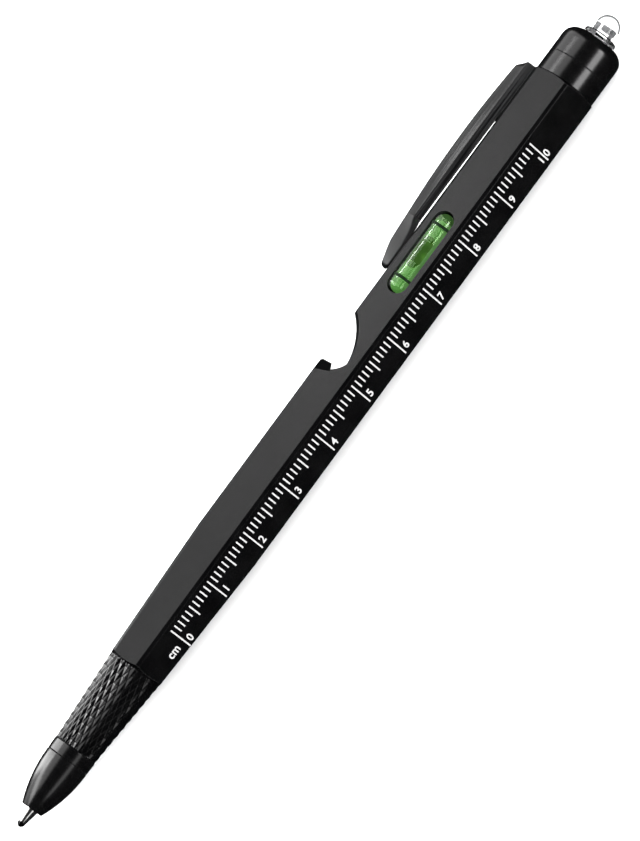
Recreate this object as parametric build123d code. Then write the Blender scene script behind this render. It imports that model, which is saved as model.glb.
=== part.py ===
from build123d import *
import math
import os

# Multi tool pen: a hexagonal metal barrel with a ruler, a spirit level, a bottle opener notch and
# a pocket clip, a twist nose that moves a ballpoint refill, and a lamp in a turning end cap.
# It lies on the barrel flat opposite the level. X runs from the writing tip to the lamp, Z is up.
# A station is a distance from the writing tip, and pieces are drawn round the X axis until export.

# Lengths along the pen
tip_reach = 3.5
nose_length = 9.9
band_length = 2.2
knurl_length = 16.7
taper_length = 25.0
hex_length = 95.1
neck_length = 4.1
cap_length = 5.65
lamp_reach = 5.05

# Outside sizes
across_flats = 11.5
small_flats = 9.8
edge_chamfer = 0.38
corner_relief = 0.8
nose_mouth_radius = 1.95
nose_belly_radius = 3.45
nose_rear_radius = 3.92
grip_front_radius = 3.95
neck_radius = 5.6
neck_chamfer = 0.2
cap_round = 2.3

# Clearances, and one overrun for every cut
running_gap = 0.05
seat_gap = 0.02
face_gap = 0.05
overrun = 1.0

# Refill and its twist drive
ball_radius = 0.5
ball_gap = 0.02
ball_show = 0.3
tip_lip_radius = 0.6
tip_cone_length = 3.6
tip_radius = 1.2
tip_body_length = 9.5
tip_shank_length = 3.0
refill_length = 67.0
refill_radius = 1.175
refill_wall = 0.35
ink_length = 42.0
refill_travel = 4.2
holder_length = 10.0
holder_overlap = 7.0
holder_tail_length = 12.0
holder_tail_side = 2.4
key_bush_length = 4.0
drive_radius = 2.6
drive_wall = 0.5
drive_rear_room = 1.1
drive_flange_radius = 3.4
drive_flange_length = 1.5
nose_mouth_depth = 2.0
nose_mouth_gap = 0.12
nose_spigot_radius = 3.05
nose_spigot_length = 5.0
grip_spigot_radius = 3.6
grip_spigot_length = 7.4
front_bore_spare = 4.0
main_bore_gap = 0.15
main_bore_spare = 1.3
key_bush_gap = 0.3
ring_wire = 0.15
ring_depth = 0.28

# Ruler printed on the flat beside the level
ruler_inset = 8.2
ruler_length = 100
minor_step = 1
middle_step = 5
major_step = 10
mark_width = 0.26
mark_thickness = 0.04
mark_edge_margin = 1.15
minor_mark_length = 1.7
middle_mark_length = 2.65
major_mark_length = 4.7

# Spirit level in the top flat
level_setback = 37.1
level_length = 16.4
level_radius = 1.9
level_sink = 0.8
level_wall = 0.35
level_floor_gap = 0.05
level_line_spacing = 10.65
level_line_width = 0.5
level_line_depth = 0.12
bubble_radius = 1.3
bubble_length = 6.3
bubble_rise = 0.12

# Bottle opener notch, cut into the flat that carries the clip
lip_setback = 60.15
lip_thickness = 1.95
lip_hook = 1.4
lip_hook_drop = 0.5
notch_floor_offset = 0.75
notch_depth = 4.03
notch_belly_offset = 0.42
notch_belly_rise = 0.62
notch_sweep_radius = 11.0
lip_slant_angle = 21.6
lip_rake_angle = 32.8
lip_near_run = 2.7

# Pocket clip
clip_length = 41.7
clip_root_length = 10.6
clip_end_inset = 0.4
clip_width = 5.6
clip_top_width = 2.6
clip_crown_height = 3.43
clip_crown_setback = 16.0
clip_bow_radius = 202.0
clip_bow_steps = 6
clip_side_height = 1.62
clip_end_height = 1.66
clip_end_slope = 1.4
clip_gap = 0.32
clip_foot_gap = 0.1
clip_foot_length = 9.5
clip_pin_radius = 0.6
clip_pin_depth = 1.0
clip_pin_height = 1.2
clip_pin_inset = 2.0
clip_pin_spacing = 3.2
clip_pin_count = 2

# Lamp, its cells and the parts that hold them
lens_radius = 2.2
lens_flange_radius = 3.05
lens_flange_length = 1.1
lens_stem_length = 3.0
lead_side = 0.5
lead_spacing = 1.3
lead_cup_width = 1.5
lead_cup_length = 1.0
lead_cup_radius = 0.5
lead_cup_depth = 0.45
lead_rise = 1.8
chip_radius = 0.21
chip_thickness = 0.2
board_radius = 3.45
board_thickness = 1.0
board_stud_radius = 1.2
board_recess = 0.45
board_ledge = 0.25
skirt_radius = 4.4
skirt_length = 5.9
cell_radius = 3.95
cell_thickness = 3.6
cell_count = 3
cell_top_gap = 0.75
cell_edge_round = 0.2
sleeve_wall = 0.35
collar_spigot_radius = 5.0
collar_spigot_length = 5.0
spring_wire = 0.25
spring_radius = 2.6
spring_turns = 4
spring_length = 4.9

# Stations that follow from the lengths
grip_front = tip_reach + nose_length
knurl_front = grip_front + band_length
barrel_front = knurl_front + knurl_length
taper_end = barrel_front + taper_length
barrel_end = taper_end + hex_length
neck_end = barrel_end + neck_length
cap_end = neck_end + cap_length
overall_length = cap_end + lamp_reach

ruler_start = barrel_front + ruler_inset
level_station = barrel_end - level_setback
lip_station = barrel_end - lip_setback
lip_near_edge = lip_station - lip_near_run
clip_end = barrel_end - clip_end_inset
clip_split = clip_end - clip_root_length
clip_tip = clip_end - clip_length

holder_start = refill_length - holder_overlap
holder_end = holder_start + holder_length
tail_end = holder_end + holder_tail_length
drive_end = holder_end + refill_travel + drive_rear_room
key_bush_start = drive_end + key_bush_gap
main_bore_radius = drive_radius + main_bore_gap
bore_end = tail_end + refill_travel + main_bore_spare
front_bore_end = barrel_front + grip_spigot_length + front_bore_spare
board_start = neck_end + face_gap - skirt_length + board_recess
board_top = board_start + board_thickness
cell_top = board_start - cell_top_gap
cell_start = cell_top - cell_count * cell_thickness
battery_bore_start = cell_start - spring_length
sleeve_radius = cell_radius + running_gap + sleeve_wall

# Directions across the barrel: the level flat faces up, the ruler flat one way, the clip the other
along = Vector(1, 0, 0)
clip_normal = Vector(0, math.cos(math.radians(30)), math.sin(math.radians(30)))
ruler_normal = Vector(0, -math.cos(math.radians(30)), math.sin(math.radians(30)))
notch_run = Vector(0, -math.sin(math.radians(30)), math.cos(math.radians(30)))
clip_side_plane = Plane(origin=(0, 0, 0), x_dir=along, z_dir=notch_run)
rest_place = Pos(-overall_length / 2, 0, across_flats / 2)


def turned(*outline):
    return revolve(make_face(Polyline(*outline, close=True)), Axis.X)


def rod(start, end, radius):
    return extrude(Plane.YZ.offset(start) * Circle(radius), amount=end - start)


def tube(start, end, outer, inner):
    return extrude(Plane.YZ.offset(start) * (Circle(outer) - Circle(inner)), amount=end - start)


def hexagon(station, flats):
    outline = RegularPolygon(flats / 2, 6, major_radius=False)
    return Plane.YZ.offset(station) * chamfer(outline.vertices(), edge_chamfer)


def flats_at(station):
    share = min(max((station - barrel_front) / taper_length, 0), 1)
    return small_flats + (across_flats - small_flats) * share


def ruler_plane(station):
    slope = (across_flats - small_flats) / 2 / taper_length if station < taper_end else 0
    origin = along * station + ruler_normal * (flats_at(station) / 2)
    return Plane(origin=origin, x_dir=along + ruler_normal * slope, z_dir=ruler_normal - along * slope)


# Barrel
def corner_cut(station, inside, outside, way):
    flat = inside / 2
    corner = flat / math.cos(math.radians(30)) + corner_relief
    return turned(
        (station - way * corner_relief, corner),
        (station + way * overrun, corner),
        (station + way * overrun, flat),
        (station, outside),
    )


def notch_cut():
    face = across_flats / 2
    floor_station = lip_station + notch_floor_offset
    floor = face - notch_depth
    roof = face + overrun
    lip_under = face - lip_thickness
    belly = (lip_station - notch_belly_offset, floor + notch_belly_rise)
    hook = (lip_station - lip_hook, lip_under - lip_hook_drop)
    centre_height = floor + notch_sweep_radius
    sweep_end_height = face + edge_chamfer
    sweep_run = math.sqrt(notch_sweep_radius**2 - (centre_height - sweep_end_height) ** 2)
    half_angle = math.asin(sweep_run / notch_sweep_radius) / 2
    sweep_middle = (
        floor_station + notch_sweep_radius * math.sin(half_angle),
        centre_height - notch_sweep_radius * math.cos(half_angle),
    )
    sweep_end = (floor_station + sweep_run, sweep_end_height)
    outline = Curve() + [
        Polyline((sweep_end[0], roof), (lip_station, roof), (lip_station, lip_under), hook),
        ThreePointArc(hook, belly, (floor_station, floor)),
        ThreePointArc((floor_station, floor), sweep_middle, sweep_end),
        Line(sweep_end, (sweep_end[0], roof)),
    ]
    return extrude(clip_side_plane * make_face(outline), amount=across_flats, both=True)


def lip_bevel_cut():
    face = across_flats / 2
    near_height = face - edge_chamfer
    near_run = (across_flats / 2 - near_height / 2) / math.cos(math.radians(30))
    normal = along
    normal = normal + clip_normal * math.tan(math.radians(lip_rake_angle))
    normal = normal + notch_run * math.tan(math.radians(lip_slant_angle))
    point = along * lip_near_edge + clip_normal * near_height + notch_run * near_run
    slice_plane = Plane(origin=point, z_dir=normal)
    beyond = extrude(slice_plane * Rectangle(2 * across_flats, 2 * across_flats), amount=across_flats)
    lip_under = face - lip_thickness - lip_hook_drop
    zone_length = lip_station - lip_near_edge + 2 * overrun
    zone = clip_side_plane * Pos(lip_near_edge + zone_length / 2 - 2 * overrun, lip_under + face / 2, 0)
    return beyond & zone * Box(zone_length + 2 * overrun, face, 2 * across_flats)


def level_pocket_cut():
    floor = across_flats / 2 - level_sink - level_radius - level_floor_gap
    width = 2 * (level_radius + seat_gap)
    slot = SlotOverall(level_length + 2 * seat_gap, width)
    return Pos(level_station, 0, floor) * extrude(slot, amount=across_flats)


def make_barrel():
    straight = extrude(hexagon(taper_end, across_flats), amount=hex_length)
    front = hexagon(barrel_front, small_flats)
    taper = loft([front, hexagon(taper_end, across_flats)], ruled=True)
    body = straight + taper
    body -= corner_cut(barrel_front, small_flats, small_flats / 2 + running_gap, -1)
    body -= corner_cut(barrel_end, across_flats, across_flats / 2 + running_gap, 1)
    body -= rod(barrel_front - overrun, front_bore_end, grip_spigot_radius + seat_gap)
    body -= rod(barrel_front, bore_end, main_bore_radius)
    body -= rod(battery_bore_start, barrel_end, sleeve_radius + seat_gap)
    body -= rod(barrel_end - collar_spigot_length, barrel_end + overrun, collar_spigot_radius + seat_gap)
    body -= notch_cut()
    body -= lip_bevel_cut()
    body -= level_pocket_cut()
    for pin in clip_pins_at(clip_pin_radius + seat_gap / 2, clip_pin_depth + seat_gap):
        body -= pin
    return body


def make_ruler_marks():
    marks = []
    for step in range(0, ruler_length + minor_step, minor_step):
        length = minor_mark_length
        if step % middle_step == 0:
            length = middle_mark_length
        if step % major_step == 0:
            length = major_mark_length
        station = ruler_start + step
        edge = flats_at(station) / 2 * math.tan(math.radians(30)) - mark_edge_margin
        mark = Box(mark_width, length, mark_thickness)
        marks.append(ruler_plane(station) * Pos(0, edge - length / 2, mark_thickness / 2) * mark)
    return Compound(marks)


# Grip section, screwed into the barrel
def make_grip_section():
    rear_radius = small_flats / 2
    bore = nose_spigot_radius + running_gap
    spigot_end = barrel_front + grip_spigot_length
    return turned(
        (grip_front, bore),
        (grip_front, nose_rear_radius),
        (knurl_front, grip_front_radius),
        (barrel_front, rear_radius),
        (barrel_front, grip_spigot_radius),
        (spigot_end, grip_spigot_radius),
        (spigot_end, drive_radius + running_gap),
        (grip_front + nose_spigot_length + running_gap, drive_radius + running_gap),
        (grip_front + nose_spigot_length + running_gap, bore),
    )


# Nose and twist drive, which turn together
def ring_groove(centre, radius):
    half = ring_wire + seat_gap
    return tube(centre - half, centre + half, radius + overrun, radius - ring_depth)


def ring_seal(centre, radius):
    section = Plane.XY * Pos(centre, radius + running_gap - seat_gap - ring_wire) * Circle(ring_wire)
    return revolve(section, Axis.X)


def make_nose_cone():
    rear = grip_front - face_gap
    spigot_end = grip_front + nose_spigot_length
    mouth_bore = tip_radius + nose_mouth_gap
    belly = ((tip_reach + rear) / 2, nose_belly_radius)
    bore = drive_radius + seat_gap
    seat = grip_front
    outline = Curve() + [
        ThreePointArc((tip_reach, nose_mouth_radius), belly, (rear, nose_rear_radius)),
        Polyline(
            (rear, nose_rear_radius),
            (rear, nose_spigot_radius),
            (spigot_end, nose_spigot_radius),
            (spigot_end, bore),
            (seat, bore),
            (seat, drive_radius - drive_wall),
            (tip_reach + nose_mouth_depth, mouth_bore + drive_wall),
            (tip_reach + nose_mouth_depth, mouth_bore),
            (tip_reach, mouth_bore),
            (tip_reach, nose_mouth_radius),
        ),
    ]
    cone = revolve(make_face(outline), Axis.X)
    return cone - ring_groove(grip_front + nose_spigot_length / 2, nose_spigot_radius)


def make_drive_tube():
    inner = drive_radius - drive_wall
    flange_start = barrel_front + grip_spigot_length + face_gap
    body = tube(grip_front, drive_end, drive_radius, inner)
    return body + tube(flange_start, flange_start + drive_flange_length, drive_flange_radius, inner)


def make_key_bush():
    bush = rod(key_bush_start, key_bush_start + key_bush_length, main_bore_radius)
    side = holder_tail_side + 2 * running_gap
    return bush - Pos(key_bush_start + key_bush_length / 2, 0, 0) * Box(2 * key_bush_length, side, side)


def make_nose_seal():
    return ring_seal(grip_front + nose_spigot_length / 2, nose_spigot_radius)


# Refill and the holder that carries it
def make_writing_ball():
    return Pos(ball_radius, 0, 0) * Sphere(ball_radius)


def make_refill_tip():
    shank = refill_radius - refill_wall - seat_gap
    body = turned(
        (ball_show, 0),
        (ball_show, tip_lip_radius),
        (tip_cone_length, tip_radius),
        (tip_body_length, tip_radius),
        (tip_body_length, shank),
        (tip_body_length + tip_shank_length, shank),
        (tip_body_length + tip_shank_length, 0),
    )
    socket = Pos(ball_radius, 0, 0) * Sphere(ball_radius + ball_gap)
    feed = rod(ball_radius, tip_body_length + tip_shank_length + overrun, ball_radius / 2)
    return body - socket - feed


def make_refill_tube():
    return tube(tip_body_length, refill_length, refill_radius, refill_radius - refill_wall)


def make_ink_column():
    start = tip_body_length + tip_shank_length
    return rod(start, start + ink_length, refill_radius - refill_wall - seat_gap)


def make_refill_holder():
    body = rod(holder_start, holder_end, drive_radius - drive_wall - running_gap)
    body -= rod(holder_start - overrun, refill_length, refill_radius + seat_gap)
    tail = Box(holder_tail_length, holder_tail_side, holder_tail_side)
    return body + Pos(holder_end + holder_tail_length / 2, 0, 0) * tail


# Spirit level
def capsule(length, radius):
    straight = length / 2 - radius
    outline = Curve() + [
        RadiusArc((-straight - radius, 0), (-straight, radius), radius),
        Line((-straight, radius), (straight, radius)),
        RadiusArc((straight, radius), (straight + radius, 0), radius),
        Line((straight + radius, 0), (-straight - radius, 0)),
    ]
    return revolve(make_face(outline), Axis.X)


def level_place(rise=0):
    return Pos(level_station, 0, across_flats / 2 - level_sink + rise)


def level_line_rings(outer, inner):
    half = level_line_width / 2
    rings = []
    for side in (-1, 1):
        middle = side * level_line_spacing / 2
        rings.append(tube(middle - half, middle + half, outer, inner))
    return rings


def make_level_tube():
    shell = capsule(level_length, level_radius)
    shell -= capsule(level_length - 2 * level_wall, level_radius - level_wall)
    for ring in level_line_rings(level_radius + overrun, level_radius - level_line_depth):
        shell -= ring
    return level_place() * shell


def make_level_lines():
    return level_place() * Compound(level_line_rings(level_radius, level_radius - level_line_depth))


def make_level_bubble():
    return level_place(bubble_rise) * capsule(bubble_length, bubble_radius)


# Pocket clip
def clip_section(station, bottom, side, top, width_share):
    face = across_flats / 2
    half = clip_width / 2 * width_share
    half_top = clip_top_width / 2 * width_share
    plane = Plane(origin=along * station + clip_normal * face, x_dir=notch_run, z_dir=-along)
    outline = [
        (-half, bottom), (half, bottom), (half, side),
        (half_top, top), (-half_top, top), (-half, side),
    ]
    return plane * make_face(Polyline(*outline, close=True))


# Each row holds shares: along the foot, then of the foot gap, the side height, the height, the width
foot_shares = [
    (0.0, 3.5, 0.30, 0.42, 0.80),
    (0.063, 1.0, 0.22, 0.61, 0.94),
    (0.47, 1.0, 0.22, 0.87, 1.0),
    (0.93, 1.0, 0.6, 0.99, 1.0),
]


def clip_height_at(station):
    return clip_crown_height - (station - clip_end + clip_crown_setback) ** 2 / (2 * clip_bow_radius)


def bowed_sections(start, end, bottom):
    sections = []
    for step in range(clip_bow_steps + 1):
        station = start + (end - start) * step / clip_bow_steps
        sections.append(clip_section(station, bottom, clip_side_height, clip_height_at(station), 1))
    return sections


def make_clip_arm():
    arm_start = clip_tip + clip_foot_length
    sections = []
    for run_share, gap_share, side_share, height_share, width_share in foot_shares:
        station = clip_tip + run_share * clip_foot_length
        bottom = gap_share * clip_foot_gap
        side = side_share * clip_side_height
        top = height_share * clip_height_at(arm_start)
        sections.append(clip_section(station, bottom, side, top, width_share))
    sections += bowed_sections(arm_start, clip_split, clip_gap)
    return loft(sections, ruled=True)


def make_clip_root():
    sections = bowed_sections(clip_split + face_gap, clip_end - clip_end_slope, 0)
    sections.append(clip_section(clip_end, 0, clip_side_height, clip_end_height, 1))
    block = loft(sections, ruled=True)
    for pin in clip_pins_at(clip_pin_radius + seat_gap / 2, clip_pin_depth):
        block -= pin
    return block


def clip_pins_at(radius, depth):
    pins = []
    for number in range(clip_pin_count):
        station = clip_split + clip_pin_inset + number * clip_pin_spacing
        origin = along * station + clip_normal * (across_flats / 2 - depth)
        foot = Plane(origin=origin, z_dir=clip_normal) * Circle(radius)
        pins.append(extrude(foot, amount=depth + clip_pin_height))
    return pins


def make_clip_pins():
    return Compound(clip_pins_at(clip_pin_radius, clip_pin_depth))


# Lamp end
def make_light_collar():
    bore = skirt_radius + running_gap
    spigot_start = barrel_end - collar_spigot_length
    return turned(
        (spigot_start, bore),
        (spigot_start, collar_spigot_radius),
        (barrel_end, collar_spigot_radius),
        (barrel_end, neck_radius - neck_chamfer),
        (barrel_end + neck_chamfer, neck_radius),
        (neck_end - neck_chamfer / 2, neck_radius),
        (neck_end, neck_radius - neck_chamfer / 2),
        (neck_end, bore),
    )


def make_end_cap():
    start = neck_end + face_gap
    skirt_start = start - skirt_length
    chamber = board_radius - board_ledge
    lens_bore = lens_radius + seat_gap
    chamber_end = cap_end - lens_stem_length
    middle = cap_round * (1 - math.cos(math.radians(45)))
    outline = Curve() + [
        Line((start, neck_radius), (cap_end - cap_round, neck_radius)),
        ThreePointArc(
            (cap_end - cap_round, neck_radius),
            (cap_end - middle, neck_radius - middle),
            (cap_end, neck_radius - cap_round),
        ),
        Polyline(
            (cap_end, neck_radius - cap_round),
            (cap_end, lens_bore),
            (chamber_end, lens_bore),
            (chamber_end, chamber),
            (board_top, chamber),
            (board_top, board_radius + seat_gap),
            (skirt_start, board_radius + seat_gap),
            (skirt_start, skirt_radius),
            (start, skirt_radius),
            (start, neck_radius),
        ),
    ]
    cap = revolve(make_face(outline), Axis.X)
    return cap - ring_groove(neck_end - neck_length / 2, skirt_radius)


def make_cap_seal():
    return ring_seal(neck_end - neck_length / 2, skirt_radius)


def lamp_leads():
    rise_end = cap_end + lens_flange_length + lead_rise
    cup_start = rise_end - lead_cup_length
    anvil = Pos((board_start + cup_start) / 2, -lead_spacing, 0)
    anvil = anvil * Box(cup_start - board_start, lead_side, lead_side)
    cup_width = lead_cup_width + lead_side
    cup_middle = -lead_spacing - lead_side / 2 + cup_width / 2
    cup = Pos((cup_start + rise_end) / 2, cup_middle, 0) * Box(lead_cup_length, cup_width, lead_side * 2)
    bowl = Cone(lead_cup_radius, lead_cup_radius / 2, lead_cup_depth * 2)
    bowl = Pos(rise_end, 0, 0) * Rot(0, -90, 0) * bowl
    post = Pos((board_start + rise_end) / 2, lead_spacing, 0)
    post = post * Box(rise_end - board_start, lead_side, lead_side)
    return [anvil + cup - bowl, post]


def make_lamp_leads():
    return Compound(lamp_leads())


def make_lamp_chip():
    rise_end = cap_end + lens_flange_length + lead_rise
    floor = rise_end - lead_cup_depth
    return rod(floor, floor + chip_thickness, chip_radius)


def make_lamp_lens():
    flange_end = cap_end + lens_flange_length
    dome_start = overall_length - lens_radius
    dome_middle = lens_radius * math.cos(math.radians(45))
    outline = Curve() + [
        Polyline(
            (cap_end - lens_stem_length, 0),
            (cap_end - lens_stem_length, lens_radius),
            (cap_end, lens_radius),
            (cap_end, lens_flange_radius),
            (flange_end, lens_flange_radius),
            (flange_end, lens_radius),
            (dome_start, lens_radius),
        ),
        ThreePointArc(
            (dome_start, lens_radius),
            (dome_start + dome_middle, dome_middle),
            (overall_length, 0),
        ),
        Line((overall_length, 0), (cap_end - lens_stem_length, 0)),
    ]
    lens = revolve(make_face(outline), Axis.X)
    for lead in lamp_leads():
        lens -= lead
    return lens - make_lamp_chip()


def make_lamp_board():
    board = rod(board_start, board_top, board_radius)
    for lead in lamp_leads():
        board -= lead
    return board


def make_board_stud():
    return rod(cell_top + face_gap, board_start, board_stud_radius)


def make_button_cells():
    cells = []
    for number in range(cell_count):
        start = cell_start + number * cell_thickness
        cell = rod(start, start + cell_thickness - seat_gap, cell_radius)
        cells.append(fillet(cell.edges().filter_by(GeomType.CIRCLE), cell_edge_round))
    return Compound(cells)


def make_battery_sleeve():
    return tube(battery_bore_start, cell_top, sleeve_radius, sleeve_radius - sleeve_wall)


def make_contact_spring():
    length = spring_length - 2 * spring_wire - seat_gap
    path = Helix(pitch=length / spring_turns, height=length, radius=spring_radius)
    wire = sweep(Plane(origin=path @ 0, z_dir=path % 0) * Circle(spring_wire), path=path, is_frenet=True)
    return Pos(battery_bore_start + spring_wire, 0, 0) * Rot(0, 90, 0) * wire


makers = {
    "barrel": make_barrel,
    "ruler_marks": make_ruler_marks,
    "grip_section": make_grip_section,
    "key_bush": make_key_bush,
    "level_tube": make_level_tube,
    "level_lines": make_level_lines,
    "level_bubble": make_level_bubble,
    "clip_root": make_clip_root,
    "clip_pins": make_clip_pins,
    "clip_arm": make_clip_arm,
    "nose_cone": make_nose_cone,
    "nose_seal": make_nose_seal,
    "drive_tube": make_drive_tube,
    "writing_ball": make_writing_ball,
    "refill_tip": make_refill_tip,
    "refill_tube": make_refill_tube,
    "ink_column": make_ink_column,
    "refill_holder": make_refill_holder,
    "light_collar": make_light_collar,
    "battery_sleeve": make_battery_sleeve,
    "button_cells": make_button_cells,
    "contact_spring": make_contact_spring,
    "end_cap": make_end_cap,
    "cap_seal": make_cap_seal,
    "lamp_lens": make_lamp_lens,
    "lamp_leads": make_lamp_leads,
    "lamp_chip": make_lamp_chip,
    "lamp_board": make_lamp_board,
    "board_stud": make_board_stud,
}

os.makedirs("parts", exist_ok=True)
for node, maker in makers.items():
    export_step(rest_place * maker(), "parts/" + node + ".step")
print("overall length", round(overall_length, 3), "bore end", round(bore_end, 3))
print("battery bore start", round(battery_bore_start, 3), "board", round(board_start, 3))
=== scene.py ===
import math
import bpy
from mathutils import Matrix, Vector


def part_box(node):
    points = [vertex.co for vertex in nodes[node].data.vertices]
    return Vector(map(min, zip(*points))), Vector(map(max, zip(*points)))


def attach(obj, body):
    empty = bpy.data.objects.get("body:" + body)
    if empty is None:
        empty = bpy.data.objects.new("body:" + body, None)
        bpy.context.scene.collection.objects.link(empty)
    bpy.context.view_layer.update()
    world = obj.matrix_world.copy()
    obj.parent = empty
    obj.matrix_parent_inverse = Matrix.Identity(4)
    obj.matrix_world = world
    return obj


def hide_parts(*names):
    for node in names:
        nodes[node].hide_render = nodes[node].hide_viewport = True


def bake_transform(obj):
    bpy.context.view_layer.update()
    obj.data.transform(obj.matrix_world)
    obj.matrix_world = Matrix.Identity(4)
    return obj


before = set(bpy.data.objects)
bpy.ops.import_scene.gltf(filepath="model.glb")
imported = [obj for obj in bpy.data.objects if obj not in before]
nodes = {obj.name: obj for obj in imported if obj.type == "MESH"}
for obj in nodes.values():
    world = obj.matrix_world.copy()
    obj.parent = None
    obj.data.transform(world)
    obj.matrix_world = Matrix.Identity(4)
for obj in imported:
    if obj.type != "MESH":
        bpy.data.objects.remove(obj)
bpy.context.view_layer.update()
print("frame loaded,", len(nodes), "nodes")

# The pen lies along X. A station is a distance from the writing tip, in metres.
mm = 0.001
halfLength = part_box("lamp_lens")[1].x
axisHeight = 5.75 * mm  # also the distance from the pen's axis to each flat
along = Vector((1, 0, 0))
tilt = math.radians(30)
clipNormal = Vector((0, math.cos(tilt), math.sin(tilt)))  # out of the clip flat
rulerNormal = Vector((0, -math.cos(tilt), math.sin(tilt)))  # out of the ruler flat
edgeWay = Vector((0, math.sin(tilt), math.cos(tilt)))  # across the ruler flat, towards the level flat
viewWay = Vector((0, -math.sin(tilt), math.cos(tilt)))  # out of the edge between level and ruler


def penPoint(station, clipSide=0.0, viewSide=0.0):
    axisPoint = Vector((station - halfLength, 0, axisHeight))
    return axisPoint + clipNormal * clipSide + viewWay * viewSide


def stationOf(point):
    return point.x + halfLength


# Camera at the photo's angle, rolled so that the pen climbs to the right
camera = {
    "spot": (-0.0656, -0.38, 0.66393),
    "aim": (-0.00028, -0.00022, 0.00562),
    "roll": 53.616,  # degrees
    "lens": 197.0,
    "sensor": 36.0,
    "near": 0.01,
    "far": 30.0,
}


def placeCamera():
    data = bpy.data.cameras.new("camera")
    data.lens = camera["lens"]
    data.sensor_width = camera["sensor"]
    data.clip_start = camera["near"]
    data.clip_end = camera["far"]
    eye = Vector(camera["spot"])
    forward = (Vector(camera["aim"]) - eye).normalized()
    across = (along - forward * along.dot(forward)).normalized()
    over = across.cross(forward)
    roll = math.radians(camera["roll"])
    right = across * math.cos(roll) - over * math.sin(roll)
    up = across * math.sin(roll) + over * math.cos(roll)
    turn = Matrix((right, up, -forward)).transposed().to_4x4()
    thing = bpy.data.objects.new("camera", data)
    thing.matrix_world = Matrix.Translation(eye) @ turn
    bpy.context.scene.collection.objects.link(thing)
    bpy.context.scene.camera = thing


placeCamera()
bpy.context.scene.view_settings.view_transform = "Standard"


# Mesh helpers
def linkMesh(name, points, faces, sharpAngle=None):
    mesh = bpy.data.meshes.new(name)
    mesh.from_pydata([tuple(point) for point in points], [], faces)
    mesh.validate()
    mesh.update()
    if sharpAngle is not None:
        mesh.shade_smooth()
        mesh.set_sharp_from_angle(angle=math.radians(sharpAngle))
    piece = bpy.data.objects.new(name, mesh)
    bpy.context.scene.collection.objects.link(piece)
    return piece


def ringFaces(ringCount, ringSize, loop=False, caps=False):
    faces = []
    last = ringCount if loop else ringCount - 1
    for row in range(last):
        here, there = row * ringSize, (row + 1) % ringCount * ringSize
        for spot in range(ringSize):
            after = (spot + 1) % ringSize
            faces.append((here + spot, there + spot, there + after, here + after))
    if caps:
        faces.append(tuple(range(ringSize)))
        faces.append(tuple(reversed(range((ringCount - 1) * ringSize, ringCount * ringSize))))
    return faces


def lathe(name, profile, count, loop=False, lift=0.0, sharpAngle=40):
    points = []
    for station, radius in profile:
        for spot in range(count):
            angle = -2 * math.pi * spot / count
            side = Vector((0, radius * math.cos(angle), lift + radius * math.sin(angle)))
            points.append(penPoint(station) + side)
    return linkMesh(name, points, ringFaces(len(profile), count, loop=loop, caps=not loop), sharpAngle)


# Materials: every finish gets its grain, its spread of gloss and its bump from nodes
finishRules = {
    "toneStart": 0.35,  # noise below it shows the dark tone alone
    "toneEnd": 0.65,  # noise above it shows the light tone alone
    "cloudDetail": 3.0,
    "grainDetail": 5.0,
    "grainDepth": 0.02 * mm,
    "edgeSamples": 6,
    "highlightStart": 0.97,  # cosine between the rounded normal and the true one, where the painted edge highlight starts
    "highlightEnd": 0.80,
}
shaderSockets = {
    "metal": "Metallic",
    "ior": "IOR",
    "shine": "Specular IOR Level",
    "clear": "Transmission Weight",
    "coat": "Coat Weight",
    "coatRough": "Coat Roughness",
    # painted light: makes a part glow though it is no lamp
    "paintedGlow": "Emission Strength",
}


def mapValue(tree, value, **limits):
    spread = tree.nodes.new("ShaderNodeMapRange")
    names = {"fromMin": "From Min", "fromMax": "From Max", "toMin": "To Min", "toMax": "To Max"}
    for key, limit in limits.items():
        spread.inputs[names[key]].default_value = limit
    tree.links.new(value, spread.inputs["Value"])
    return spread.outputs["Result"]


def mixColour(tree, colour, other, factor):
    mixed = tree.nodes.new("ShaderNodeMix")
    mixed.data_type = "RGBA"
    mixed.inputs["B"].default_value = (*other, 1)
    tree.links.new(factor, mixed.inputs["Factor"])
    tree.links.new(colour, mixed.inputs["A"])
    return mixed.outputs["Result"]


def roundedNormal(tree, radius):
    rounding = tree.nodes.new("ShaderNodeBevel")
    rounding.samples = finishRules["edgeSamples"]
    rounding.inputs["Radius"].default_value = radius
    return rounding.outputs["Normal"]


def rubbedEdges(tree, rounded, wear):
    # painted edge highlight: lighter where the rounded normal leaves the true one, which it does only near an
    # edge
    geometry = tree.nodes.new("ShaderNodeNewGeometry")
    turn = tree.nodes.new("ShaderNodeVectorMath")
    turn.operation = "DOT_PRODUCT"
    tree.links.new(rounded, turn.inputs[0])
    tree.links.new(geometry.outputs["Normal"], turn.inputs[1])
    start, end = finishRules["highlightStart"], finishRules["highlightEnd"]
    return mapValue(tree, turn.outputs["Value"], fromMin=start, fromMax=end, toMax=wear)


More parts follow.
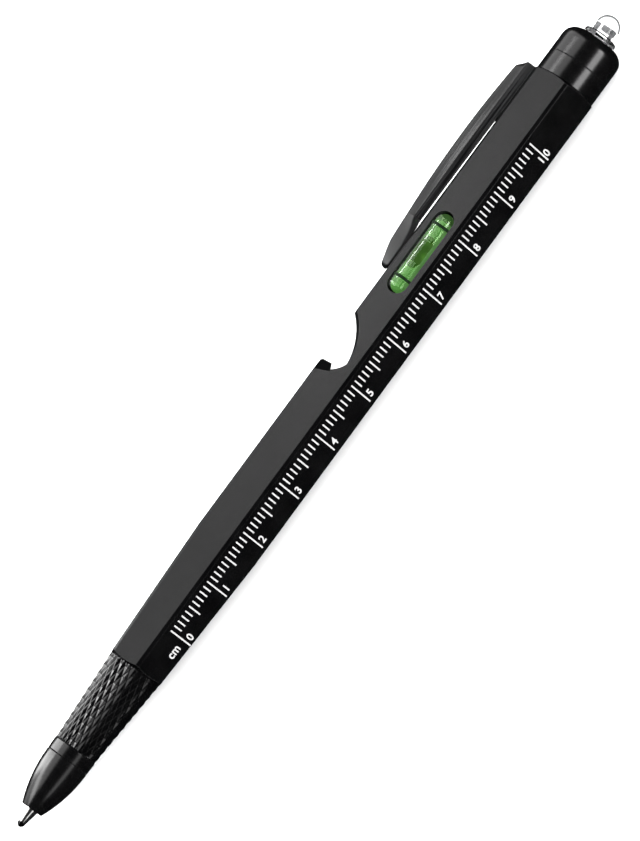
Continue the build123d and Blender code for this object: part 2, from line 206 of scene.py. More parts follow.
def newFinish(name, look):
    material = bpy.data.materials.new(name)
    material.use_nodes = True
    tree = material.node_tree
    shader = tree.nodes["Principled BSDF"]
    for key, socket in shaderSockets.items():
        if key in look:
            shader.inputs[socket].default_value = look[key]

    place = tree.nodes.new("ShaderNodeTexCoord")
    stretch = tree.nodes.new("ShaderNodeMapping")
    stretch.inputs["Scale"].default_value = look.get("stretch", (1, 1, 1))
    tree.links.new(place.outputs["Object"], stretch.inputs["Vector"])

    def noise(scale, detail=finishRules["cloudDetail"]):
        texture = tree.nodes.new("ShaderNodeTexNoise")
        texture.inputs["Scale"].default_value = scale
        texture.inputs["Detail"].default_value = detail
        tree.links.new(stretch.outputs["Vector"], texture.inputs["Vector"])
        return texture.outputs["Fac"]

    # colour wanders between two near tones
    tones = tree.nodes.new("ShaderNodeValToRGB")
    darkTone, lightTone = tones.color_ramp.elements
    darkTone.position, lightTone.position = finishRules["toneStart"], finishRules["toneEnd"]
    darkTone.color, lightTone.color = (*look["dark"], 1), (*look["light"], 1)
    tree.links.new(noise(look["cloudScale"]), tones.inputs["Fac"])
    colour = tones.outputs["Color"]

    rounded = roundedNormal(tree, look["edge"]) if "edge" in look else None
    # painted highlight along the edges
    if "wearColour" in look:
        colour = mixColour(tree, colour, look["wearColour"], rubbedEdges(tree, rounded, look["wear"]))
    if "paintedRimColour" in look:
        # painted dark outline: the colour darkens where the surface is seen edge-on, in place of the dark
        # edges of a clear body
        facing = tree.nodes.new("ShaderNodeLayerWeight").outputs["Facing"]
        edgeOn = mapValue(tree, facing, fromMin=look["rimFrom"], fromMax=look["rimTo"])
        colour = mixColour(tree, colour, look["paintedRimColour"], edgeOn)
    tree.links.new(colour, shader.inputs["Base Color"])
    # painted light: the colour glows as well
    if "paintedGlow" in look:
        tree.links.new(colour, shader.inputs["Emission Color"])

    least, most = look["rough"]
    gloss = mapValue(tree, noise(look["glossScale"]), toMin=least, toMax=most)
    tree.links.new(gloss, shader.inputs["Roughness"])

    bump = tree.nodes.new("ShaderNodeBump")
    bump.inputs["Strength"].default_value = look["bump"]
    bump.inputs["Distance"].default_value = finishRules["grainDepth"]
    tree.links.new(noise(look["grainScale"], finishRules["grainDetail"]), bump.inputs["Height"])
    if rounded:
        tree.links.new(rounded, bump.inputs["Normal"])
    tree.links.new(bump.outputs["Normal"], shader.inputs["Normal"])
    return material


def dress(thing, material):
    thing.data.materials.clear()
    thing.data.materials.append(material)


def dressFaces(piece, material, chosen):
    piece.data.materials.append(material)
    slot = len(piece.data.materials) - 1
    for face in piece.data.polygons:
        if chosen(face.center):
            face.material_index = slot


finishes = {
    "satinBlack": {  # finely blasted and anodised aluminium of the barrel
        "dark": (0.0006, 0.0006, 0.0007), "light": (0.0013, 0.0013, 0.0014), "cloudScale": 260,
        "rough": (0.16, 0.21), "glossScale": 900, "shine": 0.27, "bump": 0.10, "grainScale": 9000,
        # painted highlight along the edges
        "edge": 0.10 * mm, "wearColour": (0.045, 0.045, 0.046), "wear": 0.8,
    },
    "brushedBlack": {  # clip, with fine grinding lines along it
        "dark": (0.0004, 0.0004, 0.0005), "light": (0.012, 0.012, 0.0123), "cloudScale": 2600,
        "rough": (0.14, 0.30), "glossScale": 2600, "shine": 0.26, "bump": 0.6, "grainScale": 3000,
        # painted highlight along the edges
        "edge": 0.06 * mm, "wearColour": (0.010, 0.010, 0.011), "wear": 0.6, "stretch": (0.02, 1, 1),
    },
    "clipFoot": {  # smoother, duller end of the clip
        "dark": (0.0006, 0.0006, 0.0007), "light": (0.0020, 0.0020, 0.0022), "cloudScale": 900,
        "rough": (0.42, 0.52), "glossScale": 2600, "shine": 0.34, "bump": 0.10, "grainScale": 5000,
        # painted highlight along the edges
        "edge": 0.06 * mm, "wearColour": (0.010, 0.010, 0.011), "wear": 0.6, "stretch": (0.2, 1, 1),
    },
    "polishedBlack": {  # smooth turned nose, band, collar and end cap
        "dark": (0.0007, 0.0007, 0.0008), "light": (0.0014, 0.0014, 0.0015), "cloudScale": 300,
        "rough": (0.18, 0.24), "glossScale": 1400, "shine": 0.5, "bump": 0.05, "grainScale": 7000,
        # painted highlight along the edges
        "edge": 0.10 * mm, "wearColour": (0.02, 0.02, 0.021), "wear": 0.5, "stretch": (3, 1, 1),
    },
    "knurledBlack": {  # glossy diamonds of the grip
        "dark": (0.0005, 0.0005, 0.0006), "light": (0.0010, 0.0010, 0.0011), "cloudScale": 300,
        "rough": (0.11, 0.16), "glossScale": 1400, "shine": 0.42, "bump": 0.05, "grainScale": 7000,
    },
    "printedWhite": {
        "dark": (0.24, 0.24, 0.24), "light": (0.32, 0.32, 0.32), "cloudScale": 2500,
        "rough": (0.45, 0.6), "glossScale": 3000, "shine": 0.3, "bump": 0.3, "grainScale": 12000,
    },
    "brightSteel": {
        "dark": (0.62, 0.61, 0.60), "light": (0.80, 0.79, 0.77), "cloudScale": 900, "metal": 1.0,
        "rough": (0.16, 0.26), "glossScale": 2500, "bump": 0.15, "grainScale": 8000,
        "edge": 0.05 * mm, "stretch": (1, 3, 3),
    },
    "leadWire": {  # tinned leads of the lamp
        "dark": (0.03, 0.03, 0.031), "light": (0.07, 0.07, 0.072), "cloudScale": 2500,
        "rough": (0.35, 0.45), "glossScale": 2500, "bump": 0.15, "grainScale": 8000,
    },
    "carbideBall": {
        "dark": (0.015, 0.015, 0.016), "light": (0.03, 0.03, 0.032), "cloudScale": 3000, "metal": 1.0,
        "rough": (0.15, 0.25), "glossScale": 4000, "bump": 0.1, "grainScale": 12000,
    },
    "brassTube": {
        "dark": (0.50, 0.34, 0.12), "light": (0.66, 0.48, 0.20), "cloudScale": 500, "metal": 1.0,
        "rough": (0.22, 0.36), "glossScale": 1500, "bump": 0.15, "grainScale": 6000, "stretch": (0.3, 1, 1),
    },
    "paleAcetal": {
        "dark": (0.70, 0.70, 0.66), "light": (0.80, 0.80, 0.77), "cloudScale": 400,
        "rough": (0.35, 0.48), "glossScale": 1200, "bump": 0.2, "grainScale": 5000, "edge": 0.10 * mm,
    },
    "sleeveFilm": {
        "dark": (0.04, 0.04, 0.05), "light": (0.07, 0.07, 0.08), "cloudScale": 400,
        "rough": (0.3, 0.42), "glossScale": 1200, "bump": 0.2, "grainScale": 5000,
    },
    "levelAcrylic": {  # clear green body of the level
        "dark": (0.62, 0.95, 0.50), "light": (0.70, 0.98, 0.58), "cloudScale": 500,
        "rough": (0.0, 0.02), "glossScale": 900, "bump": 0.005, "grainScale": 2500,
        "clear": 1.0, "ior": 1.05, "coat": 0.6, "coatRough": 0.03,
        # painted dark outline where the tube is seen edge-on
        "paintedRimColour": (0.05, 0.14, 0.03), "rimFrom": 0.55, "rimTo": 0.95,
    },
    "levelLiquid": {  # dyed liquid, lit by a painted glow
        "dark": (0.011, 0.023, 0.0085), "light": (0.017, 0.033, 0.013), "cloudScale": 350, "paintedGlow": 6.5,
        "rough": (0.3, 0.4), "glossScale": 900, "shine": 0.05, "bump": 0.02, "grainScale": 1500,
    },
    "levelLiquidPaintedShade": {  # painted shade: a darker copy of the liquid for the far end of the level
        "dark": (0.0042, 0.0075, 0.0030), "light": (0.0060, 0.0105, 0.0044), "cloudScale": 350, "paintedGlow": 6.5,
        "rough": (0.3, 0.4), "glossScale": 900, "shine": 0.05, "bump": 0.02, "grainScale": 1500,
    },
    "levelAir": {  # the bubble, lit by a painted glow, with a painted dark outline where it is seen edge-on
        "dark": (0.0038, 0.0098, 0.0013), "light": (0.0104, 0.0250, 0.0038), "cloudScale": 300, "paintedGlow": 6.5,
        "rough": (0.3, 0.4), "glossScale": 900, "shine": 0.05, "bump": 0.01, "grainScale": 1500,
        "paintedRimColour": (0.0008, 0.0022, 0.0004), "rimFrom": 0.45, "rimTo": 0.80,
    },
    "levelPaint": {
        "dark": (0.001, 0.006, 0.001), "light": (0.002, 0.010, 0.002), "cloudScale": 2000,
        "rough": (0.4, 0.55), "glossScale": 3000, "shine": 0.1, "bump": 0.2, "grainScale": 9000,
    },
    "sealRubber": {
        "dark": (0.010, 0.010, 0.010), "light": (0.022, 0.022, 0.022), "cloudScale": 900,
        "rough": (0.55, 0.7), "glossScale": 2000, "bump": 0.3, "grainScale": 6000,
    },
    "inkPaste": {
        "dark": (0.004, 0.004, 0.012), "light": (0.010, 0.010, 0.024), "cloudScale": 900,
        "rough": (0.12, 0.2), "glossScale": 2000, "bump": 0.1, "grainScale": 3000,
    },
    "lampClear": {
        "dark": (0.88, 0.89, 0.90), "light": (0.94, 0.95, 0.96), "cloudScale": 500, "clear": 1.0, "ior": 1.30,
        "rough": (0.0, 0.03), "glossScale": 1200, "bump": 0.03, "grainScale": 2500,
    },
    "lampDome": {  # the lens end, with a faint painted dark line at its outline
        "dark": (0.88, 0.89, 0.90), "light": (0.94, 0.95, 0.96), "cloudScale": 500, "clear": 1.0, "ior": 1.30,
        "rough": (0.0, 0.03), "glossScale": 1200, "bump": 0.03, "grainScale": 2500,
        "paintedRimColour": (0.02, 0.02, 0.021), "rimFrom": 0.30, "rimTo": 0.50,
    },
    "lampEdgePaintedDark": {  # rounded front edge of the lens flange, painted dark for the dark reflections it gathers
        "dark": (0.010, 0.010, 0.011), "light": (0.022, 0.022, 0.023), "cloudScale": 900,
        "clear": 0.3, "ior": 1.3,
        "rough": (0.1, 0.2), "glossScale": 1200, "bump": 0.03, "grainScale": 2500,
    },
    "lampPhosphor": {
        "dark": (0.80, 0.62, 0.10), "light": (0.90, 0.76, 0.18), "cloudScale": 5000,
        "rough": (0.4, 0.5), "glossScale": 5000, "bump": 0.3, "grainScale": 15000,
    },
    "boardLaminate": {
        "dark": (0.012, 0.11, 0.035), "light": (0.020, 0.16, 0.05), "cloudScale": 1500,
        "rough": (0.3, 0.42), "glossScale": 3000, "bump": 0.2, "grainScale": 7000,
    },
}
made = {name: newFinish(name, look) for name, look in finishes.items()}
nodeFinishes = {
    "satinBlack": ["barrel"],
    "polishedBlack": ["nose_cone", "light_collar", "end_cap"],
    "printedWhite": ["ruler_marks"],
    "brightSteel": ["clip_pins", "button_cells", "contact_spring", "refill_tip"],
    "leadWire": ["lamp_leads"],
    "carbideBall": ["writing_ball"],
    "brassTube": ["refill_tube", "board_stud"],
    "paleAcetal": ["drive_tube", "refill_holder", "key_bush"],
    "sleeveFilm": ["battery_sleeve"],
    "levelPaint": ["level_lines"],
    "sealRubber": ["nose_seal", "cap_seal"],
    "inkPaste": ["ink_column"],
    "lampPhosphor": ["lamp_chip"],
    "boardLaminate": ["lamp_board"],
}
for finish, dressed in nodeFinishes.items():
    for node in dressed:
        dress(nodes[node], made[finish])
print("finishes made:", len(made))


# Grip section: a plain band, then a cone cut with crossing grooves that leave long diamonds
grip = {
    "bandRadius": 3.92 * mm,
    "backRadius": 4.9 * mm,
    "knurlStart": 15.6 * mm,
    "knurlEnd": 32.15 * mm,
    "diamondsAround": 27,
    "diamondLength": 3.3 * mm,
    "grooveShare": 0.94,
    "grooveDepth": 0.24 * mm,
    "fadeLength": 0.2 * mm,  # the grooves deepen over it at both ends
    "fadeStart": 0.05 * mm,
    "stepsAround": 14,  # points for each diamond
    "stepsAlong": 28,
    "sharpAngle": 32,
    "edge": 0.12 * mm,
    "lip": 0.04 * mm,  # closes the seam behind the nose to a fine line
    "lipRadius": 3.75 * mm,
    "bore": 3.1 * mm,
    "innerBore": 2.66 * mm,
    "boreStep": 18.45 * mm,
    "spigot": 3.6 * mm,
}


def grooveDrop(angle, station):
    turn = grip["diamondsAround"] * angle / (2 * math.pi)
    run = station / grip["diamondLength"]
    deepest = 0.0
    for phase in (turn + run, turn - run):
        near = abs(phase - math.floor(phase) - 0.5) * 2
        deepest = max(deepest, (near - 1 + grip["grooveShare"]) / grip["grooveShare"])
    return grip["grooveDepth"] * deepest


def gripProfile(front, back, spigotEnd):
    band, backRadius, edge = grip["bandRadius"], grip["backRadius"], grip["edge"]
    start, end = grip["knurlStart"], grip["knurlEnd"]
    lip = front - grip["lip"]
    profile = [
        (lip, grip["bore"], 0), (lip, grip["lipRadius"], 0), (front, grip["lipRadius"], 0),
        (front, band - edge, 0), (front + edge, band, 0),
        (start - edge, band + edge / 4, 0), (start, band - edge / 2, 0),
    ]
    rows = round((end - start) / grip["diamondLength"] * grip["stepsAlong"])
    for row in range(rows + 1):
        station = start + (end - start) * row / rows
        radius = band + (backRadius - band) * (station - start) / (back - start)
        inside = min(station - start, end - station) + grip["fadeStart"]
        profile.append((station, radius, min(1.0, inside / grip["fadeLength"])))
    profile += [
        (back, backRadius - edge, 0), (back, grip["spigot"], 0), (spigotEnd, grip["spigot"], 0),
        (spigotEnd, grip["innerBore"], 0), (grip["boreStep"], grip["innerBore"], 0),
        (grip["boreStep"], grip["bore"], 0),
    ]
    return profile


def makeGripSection():
    low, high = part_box("grip_section")
    profile = gripProfile(stationOf(low), stationOf(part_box("barrel")[0]), stationOf(high))
    count = grip["diamondsAround"] * grip["stepsAround"]
    points = []
    for station, radius, fade in profile:
        for spot in range(count):
            angle = -2 * math.pi * spot / count
            drop = fade * grooveDrop(angle, station) if fade else 0.0
            side = Vector((0, math.cos(angle), math.sin(angle))) * (radius - drop)
            points.append(penPoint(station) + side)
    faces = ringFaces(len(profile), count, loop=True)
    piece = linkMesh("grip_knurled", points, faces, grip["sharpAngle"])
    dress(piece, made["knurledBlack"])
    dressFaces(piece, made["polishedBlack"], lambda spot: stationOf(spot) < grip["knurlStart"])
    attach(piece, "barrel")
    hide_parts("grip_section")
    print("grip section made,", len(points), "points")


makeGripSection()


# Pocket clip: one springy bar from its root to a rounded foot
clip = {
    "tip": 110.3 * mm,
    "armStart": 119.8 * mm,
    "slopeStart": 150.6 * mm,
    "end": 152.0 * mm,
    "split": 141.4 * mm,
    "width": 5.6 * mm,
    "topWidth": 2.6 * mm,
    "crownHeight": 3.43 * mm,
    "crown": 136.0 * mm,
    "bowRadius": 202.0 * mm,
    "sideHeight": 1.62 * mm,
    "endHeight": 1.66 * mm,
    "endLift": 0.08 * mm,
    "endWidth": 0.97,  # share of the width
    "gap": 0.25 * mm,
    "rootGap": 0.12 * mm,  # the slit closes towards the root
    "footGap": 0.012 * mm,
    "ease": 0.1 * mm,  # softens the bends of the root
    "cornerRound": 0.22 * mm,
    "cornerShare": 0.45,  # a rounded corner takes no more of a side than this
    "cornerSteps": 4,
    "armSteps": 24,
    "rootSteps": 8,
    "sharpAngle": 38,
    "bendBack": 1.5 * mm,  # a distance behind the split
    "bendFront": 3.0 * mm,  # a distance in front of it
}
# each row: share of the foot's run, bottom in foot gaps, then shares of side height, height and width
footRows = [
    (0.0, 30, 0.32, 0.34, 0.64), (0.012, 16, 0.27, 0.41, 0.80), (0.045, 1, 0.22, 0.50, 0.93),
    (0.16, 1, 0.22, 0.61, 0.98), (0.30, 1, 0.22, 0.745, 1.0), (0.45, 1, 0.24, 0.87, 1.0),
    (0.56, 1, 0.31, 0.905, 1.0), (0.68, 1, 0.41, 0.935, 1.0), (0.78, 1, 0.54, 0.955, 1.0),
    (0.86, 4, 0.71, 0.975, 1.0), (0.93, 12, 0.87, 0.99, 1.0), (0.98, 22, 0.96, 0.995, 1.0),
]


def roundedRing(corners, radius, steps):
    ring = []
    for number, corner in enumerate(corners):
        here = Vector(corner)
        before = Vector(corners[number - 1]) - here
        after = Vector(corners[(number + 1) % len(corners)]) - here
        reach = min(radius, before.length * clip["cornerShare"], after.length * clip["cornerShare"])
        start, end = here + before.normalized() * reach, here + after.normalized() * reach
        for step in range(steps + 1):
            share = step / steps
            ring.append(start * (1 - share) ** 2 + here * 2 * share * (1 - share) + end * share ** 2)
    return ring


def clipHeight(station):
    return clip["crownHeight"] - (station - clip["crown"]) ** 2 / (2 * clip["bowRadius"])


def clipRing(station, bottom, side, top, widthShare=1.0):
    half, halfTop = clip["width"] / 2 * widthShare, clip["topWidth"] / 2 * widthShare
    corners = [(-half, bottom), (half, bottom), (half, side), (halfTop, top), (-halfTop, top), (-half, side)]
    ring = roundedRing(corners, clip["cornerRound"], clip["cornerSteps"])
    return [penPoint(station, axisHeight + point.y, point.x) for point in ring]


def footRings():
    rings = []
    run, height = clip["armStart"] - clip["tip"], clipHeight(clip["armStart"])
    for runShare, gapShare, sideShare, heightShare, widthShare in footRows:
        rings.append(clipRing(
            clip["tip"] + runShare * run, gapShare * clip["footGap"], sideShare * clip["sideHeight"],
            heightShare * height, widthShare,
        ))
    return rings


def armRings():
    rings = []
    for step in range(clip["armSteps"] + 1):
        share = step / clip["armSteps"]
        station = clip["armStart"] + (clip["split"] - clip["armStart"]) * share
        slit = clip["gap"] + (clip["rootGap"] - clip["gap"]) * share ** 2
        rings.append(clipRing(station, slit, clip["sideHeight"], clipHeight(station)))
    return rings


def rootRings():
    rings = []
    ease, side, end = clip["ease"], clip["sideHeight"], clip["end"]
    rootStart, rootEnd = clip["split"] + ease, clip["slopeStart"] - ease
    for step in range(clip["rootSteps"] + 1):
        station = rootStart + (rootEnd - rootStart) * step / clip["rootSteps"]
        rings.append(clipRing(station, 0.0, side, clipHeight(station)))
    rings.append(clipRing(rootEnd + 2 * ease, 0.0, side, clipHeight(rootEnd) - ease))
    rings.append(clipRing(end - ease, 0.0, side, clip["endHeight"] + clip["endLift"]))
    rings.append(clipRing(end, 0.0, side - ease, clip["endHeight"] - ease, clip["endWidth"]))
    return rings


def makeClip():
    rings = footRings() + armRings() + rootRings()
    points = [point for ring in rings for point in ring]
    faces = ringFaces(len(rings), len(rings[0]), caps=True)
    piece = linkMesh("clip_bar", points, faces, clip["sharpAngle"])
    dress(piece, made["brushedBlack"])
    dressFaces(piece, made["clipFoot"], lambda spot: stationOf(spot) < clip["armStart"])
    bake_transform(piece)
    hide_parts("clip_root", "clip_arm")
    print("clip made,", len(points), "points")


makeClip()


# Ruler numbers, printed on the flat like the marks
numbers = {
    "zero": 40.5 * mm,  # station of the first mark
    "spacing": 10.0 * mm,
    "last": 10,
    "height": 1.5 * mm,
    "shift": 1.08 * mm,  # from a mark to the middle of its number
    "oneShift": -0.80 * mm,  # the last mark runs between the digits of 10
    "noughtShift": 0.75 * mm,
    "fromEdge": 4.78 * mm,
    "slimness": 0.92,
    "thickness": 0.04 * mm,
    "bold": 0.022,
    "curveSteps": 6,
    "glyphDepth": 0.01,
    "unitHeight": 1.1 * mm,
    "unitStation": 38.0 * mm,
    "unitFromEdge": 4.2 * mm,
}
barrelShape = {"front": 32.3 * mm, "taperEnd": 57.3 * mm, "smallFlats": 9.8 * mm, "flats": 11.5 * mm}


def rulerPlace(station, fromEdge):
    front, small = barrelShape["front"], barrelShape["smallFlats"]
    taper, growth = barrelShape["taperEnd"] - front, barrelShape["flats"] - small
    share = min(max((station - front) / taper, 0), 1)
    flats = small + growth * share
    slope = growth / 2 / taper if share < 1 else 0
    across = flats / 2 * math.tan(tilt) - fromEdge
    spot = penPoint(station) + rulerNormal * (flats / 2) + edgeWay * across
    run = (along + rulerNormal * slope).normalized()
    out = (rulerNormal - along * slope).normalized()
    turn = Matrix((run, out.cross(run), out)).transposed().to_4x4()
    return Matrix.Translation(spot) @ turn


def glyphShape(text, height):
    curve = bpy.data.curves.new("glyph", "FONT")
    curve.body = text
    curve.size = 1
    curve.offset = numbers["bold"]
    curve.resolution_u = numbers["curveSteps"]
    curve.extrude = numbers["glyphDepth"]
    thing = bpy.data.objects.new("glyph", curve)
    bpy.context.scene.collection.objects.link(thing)
    bpy.context.view_layer.update()
    mesh = bpy.data.meshes.new_from_object(thing.evaluated_get(bpy.context.evaluated_depsgraph_get()))
    spots = [vertex.co.copy() for vertex in mesh.vertices]
    faces = [tuple(face.vertices) for face in mesh.polygons]
    low = Vector([min(spot[axis] for spot in spots) for axis in range(3)])
    high = Vector([max(spot[axis] for spot in spots) for axis in range(3)])
    scale = height / (high.y - low.y)
    middle = (low + high) / 2
    flat = []
    for spot in spots:
        lift = numbers["thickness"] if spot.z > middle.z else 0.0
        across, up = (spot.x - middle.x) * scale * numbers["slimness"], (spot.y - middle.y) * scale
        flat.append(Vector((across, up, lift)))
    bpy.data.objects.remove(thing)
    bpy.data.curves.remove(curve)
    bpy.data.meshes.remove(mesh)
    return flat, faces


def makeNumbers():
    height, fromEdge = numbers["height"], numbers["fromEdge"]
    last = numbers["zero"] + numbers["last"] * numbers["spacing"]
    wanted = []
    for number in range(numbers["last"]):
        station = numbers["zero"] + number * numbers["spacing"] + numbers["shift"]
        wanted.append((str(number), station, height, fromEdge))
    wanted.append(("1", last + numbers["oneShift"], height, fromEdge))
    wanted.append(("0", last + numbers["noughtShift"], height, fromEdge))
    wanted.append(("cm", numbers["unitStation"], numbers["unitHeight"], numbers["unitFromEdge"]))
    points, faces = [], []
    for text, middle, size, edgeGap in wanted:
        flat, ownFaces = glyphShape(text, size)
        place = rulerPlace(middle, edgeGap)
        first = len(points)
        points += [place @ spot for spot in flat]
        faces += [tuple(first + corner for corner in face) for face in ownFaces]
    piece = linkMesh("ruler_numbers", points, faces)
    dress(piece, made["printedWhite"])
    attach(piece, "barrel")
    print("ruler numbers made,", len(points), "points")


makeNumbers()


# Level: dyed liquid in the lower part of the tube, and the bubble over its flat top
level = {
    "station": 115.3 * mm,
    "sink": 0.8 * mm,
    "length": 15.7 * mm,
    "radius": 1.57 * mm,  # wets the wall of the tube
    "surface": 0.86 * mm,  # flat top of the liquid, over the tube's middle
    "surfaceSine": 0.98,  # used where a rounded end stays below the surface
    # painted shade over the far end of the liquid starts here
    "paintedShadeFrom": 5.3 * mm,
    "bubbleLength": 6.3 * mm,
    "bubbleRadius": 1.56 * mm,  # wets the wall of the tube too
    "bubbleBase": 0.88 * mm,
    "bubbleRise": 1.01,  # least radius of its end sections, in bases
    "tubeRadius": 1.9 * mm,
    "tubeWall": 0.35 * mm,
    "endRoom": 0.15 * mm,  # keeps the bubble clear of the rounded ends
    "endPoint": 0.03,  # share of the radius where a rounded end closes
    "lineSpacing": 10.65 * mm,
    "lineWidth": 0.5 * mm,
    "lineDepth": 0.12 * mm,
    "hair": 1e-6 * mm,  # keeps the two corners of a groove's wall in order
    "steps": 24,
    "arcSteps": 20,
    "tubeSteps": 64,
    "sharpAngle": 50,
}


def capsuleSections(straight, radius):
    sections = []
    for end in (-1, 1):
        for step in range(level["steps"]):
            angle = math.pi / 2 * (step + 0.5) / level["steps"]
            reach = radius * max(math.sin(angle), level["endPoint"])
            sections.append((end * (straight + radius * math.cos(angle)), reach))
    return sorted(sections)


def levelPoint(x, radius, angle):
    centre = penPoint(level["station"]) + Vector((0, 0, axisHeight - level["sink"]))
    return centre + Vector((x, radius * math.cos(angle), radius * math.sin(angle)))


def levelArc(x, radius, first, sweep):
    steps = level["arcSteps"]
    return [levelPoint(x, radius, first + sweep * step / steps) for step in range(steps + 1)]


def makeTube():
    low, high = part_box("level_tube")
    half, radius, wall = (high.x - low.x) / 2, level["tubeRadius"], level["tubeWall"]
    outer = capsuleSections(half - radius, radius)
    reach, hair, grooveFloor = level["lineWidth"] / 2, level["hair"], radius - level["lineDepth"]
    for side in (-1, 1):
        middle = side * level["lineSpacing"] / 2
        outer += [
            (middle - reach, radius), (middle - reach + hair, grooveFloor),
            (middle + reach - hair, grooveFloor), (middle + reach, radius),
        ]
    inner = capsuleSections(half - radius + level["endRoom"], radius - wall)
    profile = [(level["station"] + x, outward) for x, outward in sorted(outer) + inner[::-1]]
    lift = axisHeight - level["sink"]
    piece = lathe("level_glass", profile, level["tubeSteps"], loop=True, lift=lift)
    dress(piece, made["levelAcrylic"])
    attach(piece, "barrel")
    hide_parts("level_tube")
    print("level tube made")


def makeLiquid():
    sections = capsuleSections(level["length"] / 2 - level["radius"], level["radius"])
    points = []
    for x, radius in sections:
        first = math.asin(min(level["surface"] / radius, level["surfaceSine"]))
        points += levelArc(x, radius, first, -(math.pi + 2 * first))
    faces = ringFaces(len(sections), level["arcSteps"] + 1, caps=True)
    piece = linkMesh("level_liquid", points, faces, level["sharpAngle"])
    dress(piece, made["levelLiquid"])
    # painted shade: darker liquid over the far end
    paintedShadeStart = level["station"] + level["paintedShadeFrom"]
    dressFaces(piece, made["levelLiquidPaintedShade"], lambda spot: stationOf(spot) > paintedShadeStart)
    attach(piece, "barrel")
    print("level liquid made,", len(points), "points")


def makeBubble():
    radius, base = level["bubbleRadius"], level["bubbleBase"]
    straight = level["bubbleLength"] / 2 - math.sqrt(radius ** 2 - base ** 2)
    sections = [row for row in capsuleSections(straight, radius) if row[1] > base * level["bubbleRise"]]
    points = []
    for x, reach in sections:
        first = math.asin(base / reach)
        points += levelArc(x, reach, math.pi - first, -(math.pi - 2 * first))
    faces = ringFaces(len(sections), level["arcSteps"] + 1, caps=True)
    piece = linkMesh("level_air", points, faces, level["sharpAngle"])
    dress(piece, made["levelAir"])
    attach(piece, "bubble")
    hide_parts("level_bubble")
    print("bubble made,", len(points), "points")


makeTube()
makeLiquid()
makeBubble()


# Lamp lens: a clear bullet on a flange with a front edge painted dark
lens = {
    "stem": 3.0 * mm,
    "core": 0.05 * mm,  # the flat back narrows to it
    "radius": 2.2 * mm,
    "flangeRadius": 3.05 * mm,
    "flangeLength": 1.1 * mm,
    "backEdge": 0.1 * mm,
    "frontEdge": 0.3 * mm,
    "domeSteps": 20,
    "stepsAround": 72,
}


def makeLens():
    low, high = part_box("lamp_lens")
    start, tip = stationOf(low), stationOf(high)
    seat = start + lens["stem"]
    flangeEnd, radius, outer = seat + lens["flangeLength"], lens["radius"], lens["flangeRadius"]
    back, front = lens["backEdge"], lens["frontEdge"]
    profile = [
        (start, lens["core"]), (start, radius), (seat, radius), (seat, outer - back), (seat + back, outer),
        (flangeEnd - front, outer), (flangeEnd - front / 3, outer - front / 4),
        (flangeEnd, outer - front), (flangeEnd, radius + back), (flangeEnd + back, radius),
    ]
    for step in range(lens["domeSteps"]):
        angle = math.pi / 2 * step / lens["domeSteps"]
        profile.append((tip - radius * (1 - math.sin(angle)), radius * math.cos(angle)))

    def onEdge(spot):
        beyond = math.hypot(spot.y, spot.z - axisHeight) > outer - front
        return beyond and flangeEnd - front < stationOf(spot) < flangeEnd

    piece = lathe("lens_clear", profile, lens["stepsAround"])
    dress(piece, made["lampClear"])
    # painted reflection: the flange's front edge is darker
    dressFaces(piece, made["lampEdgePaintedDark"], onEdge)
    dressFaces(piece, made["lampDome"], lambda spot: stationOf(spot) > tip - radius)
    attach(piece, "end_cap")
    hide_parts("lamp_lens")
    print("lens made")


makeLens()


# Writing tip: a bright cone whose rolled lip round the ball is painted dark, as shade
writingTip = {
    "lipRadius": 0.6 * mm,
    "lipLength": 0.62 * mm,
    "lipRound": 0.04 * mm,
    "lipFace": 0.97,  # share of the lip's radius
    "lipStep": 0.02 * mm,  # the cone stands proud of the lip
    "coneLength": 3.3 * mm,
    "radius": 1.2 * mm,
    "bodyLength": 9.2 * mm,
    "shank": 0.805 * mm,
    "socket": 0.53 * mm,
    "socketShare": 0.8,  # depth of the socket's straight wall, in socket radii
    "seat": 0.2 * mm,
    "crimp": 0.94,  # the mouth closes a little over the ball
    "crimpLength": 0.1 * mm,
    "feed": 0.25 * mm,
    "stepsAround": 56,
}


def makeWritingTip():
    low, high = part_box("refill_tip")
    front, back = stationOf(low), stationOf(high)
    lip, lipLength, radius = writingTip["lipRadius"], writingTip["lipLength"], writingTip["radius"]
    lipRound, lipStep, cone = writingTip["lipRound"], writingTip["lipStep"], writingTip["coneLength"]
    socket, feed, shank = writingTip["socket"], writingTip["feed"], writingTip["shank"]
    lipEnd = lip + (radius - lip) * lipLength / cone
    bodyEnd = front + writingTip["bodyLength"]
    profile = [
        (front + socket + writingTip["seat"], feed), (front + socket * writingTip["socketShare"], socket),
        (front + writingTip["crimpLength"], socket), (front, socket * writingTip["crimp"]),
        (front, lip * writingTip["lipFace"]), (front + lipRound, lip),
        (front + lipLength, lipEnd), (front + lipLength + lipStep, lipEnd + lipStep / 2),
        (front + cone, radius), (bodyEnd, radius), (bodyEnd, shank), (back, shank), (back, feed),
    ]
    piece = lathe("writing_tip", profile, writingTip["stepsAround"], loop=True)
    dress(piece, made["brightSteel"])
    # painted shade: the lip round the ball takes the dark ball finish
    dressFaces(piece, made["carbideBall"], lambda spot: stationOf(spot) < front + lipLength)
    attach(piece, "refill")
    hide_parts("refill_tip")
    print("writing tip made")


makeWritingTip()


# Plain pale floor and soft studio light
studio = {
    "floorHalf": 5.0,
    "floorSteps": 8,
    "floorDrop": 0.02 * mm,
    "floorLook": {
        "dark": (0.93, 0.93, 0.93), "light": (0.95, 0.95, 0.95), "cloudScale": 4,
        "rough": (0.8, 0.9), "glossScale": 60, "shine": 0.1, "bump": 0.02, "grainScale": 900,
    },
    "worldColour": (0.95, 0.97, 1.0),
    "worldStrength": 0.02,
}


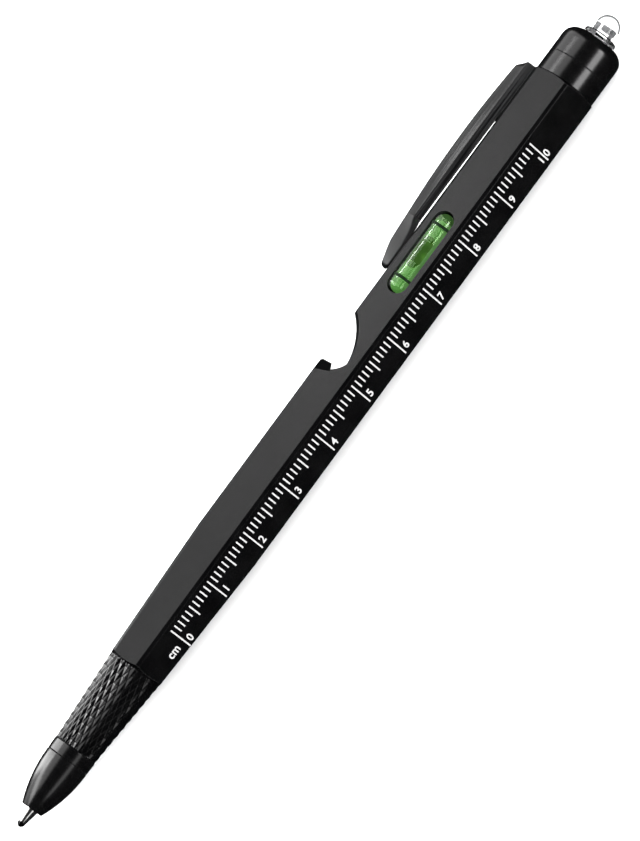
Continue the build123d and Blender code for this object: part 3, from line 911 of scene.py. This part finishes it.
def makeFloor():
    half, steps, drop = studio["floorHalf"], studio["floorSteps"], studio["floorDrop"]
    places = [half * (2 * step / steps - 1) for step in range(steps + 1)]
    points = [Vector((x, y, -drop)) for y in places for x in places]
    faces = []
    for row in range(steps):
        for column in range(steps):
            first = row * (steps + 1) + column
            faces.append((first, first + 1, first + steps + 2, first + steps + 1))
    floor = linkMesh("floor", points, faces)
    dress(floor, newFinish("floorPaper", studio["floorLook"]))
    floor.visible_glossy = False


def makeWorld():
    world = bpy.data.worlds.new("studio")
    world.use_nodes = True
    background = world.node_tree.nodes["Background"]
    background.inputs["Color"].default_value = (*studio["worldColour"], 1)
    background.inputs["Strength"].default_value = studio["worldStrength"]
    bpy.context.scene.world = world


# angles run round the pen's axis, from the camera's side towards the clip, in degrees
boxes = {
    "clipSideBox": {
        "angle": 78, "along": 0.0, "distance": 0.9,
        "length": 1.4, "width": 1.6, "watts": 14, "shiny": True,
    },
    "noseBox": {
        "angle": 98, "along": -0.175, "distance": 0.88,
        "length": 0.19, "width": 0.98, "watts": 5.2, "shiny": True,
    },
    "noseFrontBox": {
        "angle": 67, "along": -0.54, "distance": 0.9, "slant": 40,
        "length": 0.74, "width": 0.28, "watts": 3.6, "shiny": True,
    },
    "noseStrip": {
        "angle": -34, "along": -0.31, "distance": 0.9,
        "length": 0.6, "width": 0.26, "watts": 0.8, "shiny": True,
    },
    "lampStrip": {
        "angle": -34, "along": 0.394, "distance": 0.9,
        "length": 0.452, "width": 0.36, "watts": 4.3, "shiny": True,
    },
    "levelStrip": {
        "angle": 71, "along": 0.147, "distance": 0.9,
        "length": 0.08, "width": 0.2, "watts": 1.1, "shiny": True,
    },
    "topFill": {
        "angle": 30, "along": 0.0, "distance": 1.1,
        "length": 1.6, "width": 1.6, "watts": 38, "shiny": False,
    },
    "rulerSideFill": {
        "angle": -50, "along": 0.12, "distance": 1.1,
        "length": 1.6, "width": 1.0, "watts": 32, "shiny": False,
    },
}


def makeBox(name, box):
    data = bpy.data.lights.new(name, "AREA")
    data.shape = "RECTANGLE"
    data.size, data.size_y = box["length"], box["width"]
    data.energy = box["watts"]
    turn, slant = math.radians(box["angle"]), math.radians(box.get("slant", 0))
    way = viewWay * math.cos(turn) + clipNormal * math.sin(turn)
    run = along * math.cos(slant) + way.cross(along) * math.sin(slant)
    facing = Matrix((run, way.cross(run), way)).transposed().to_4x4()
    spot = penPoint(halfLength + box["along"]) + way * box["distance"]
    light = bpy.data.objects.new(name, data)
    light.matrix_world = Matrix.Translation(spot) @ facing
    light.visible_glossy = box["shiny"]
    bpy.context.scene.collection.objects.link(light)


makeFloor()
makeWorld()
for name, box in boxes.items():
    makeBox(name, box)
print("floor and lights made")
